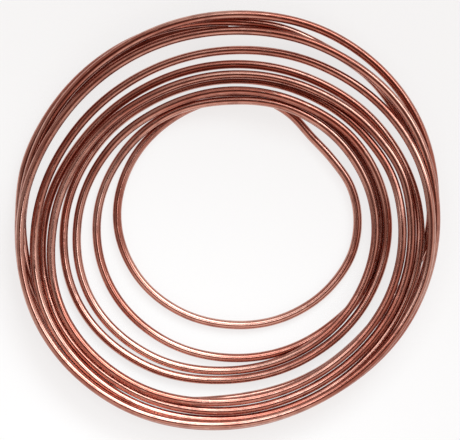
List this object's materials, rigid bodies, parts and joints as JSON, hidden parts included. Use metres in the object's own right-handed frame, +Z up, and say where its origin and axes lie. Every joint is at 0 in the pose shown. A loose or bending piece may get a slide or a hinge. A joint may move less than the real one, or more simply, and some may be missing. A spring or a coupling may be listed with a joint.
{
  "type": "copper tube coil",
  "caption": "Loose flat coil of bare round copper tube, its uneven turns spread and crossing, with both cut ends open.",
  "frame": {"origin": "centre of the coil's outer box, on the floor that the tube lies on", "axes": "+Z up along the coil's axis; +Y towards the side where the turns crowd together most; the tube runs clockwise seen from above as it goes outward"},
  "size_m": [0.311, 0.3064, 0.0262],
  "materials": {
    "copper": "bright drawn copper, lightly tarnished"
  },
  "bodies": {
    "root": {"tube": "copper"}
  },
  "joints": []
}
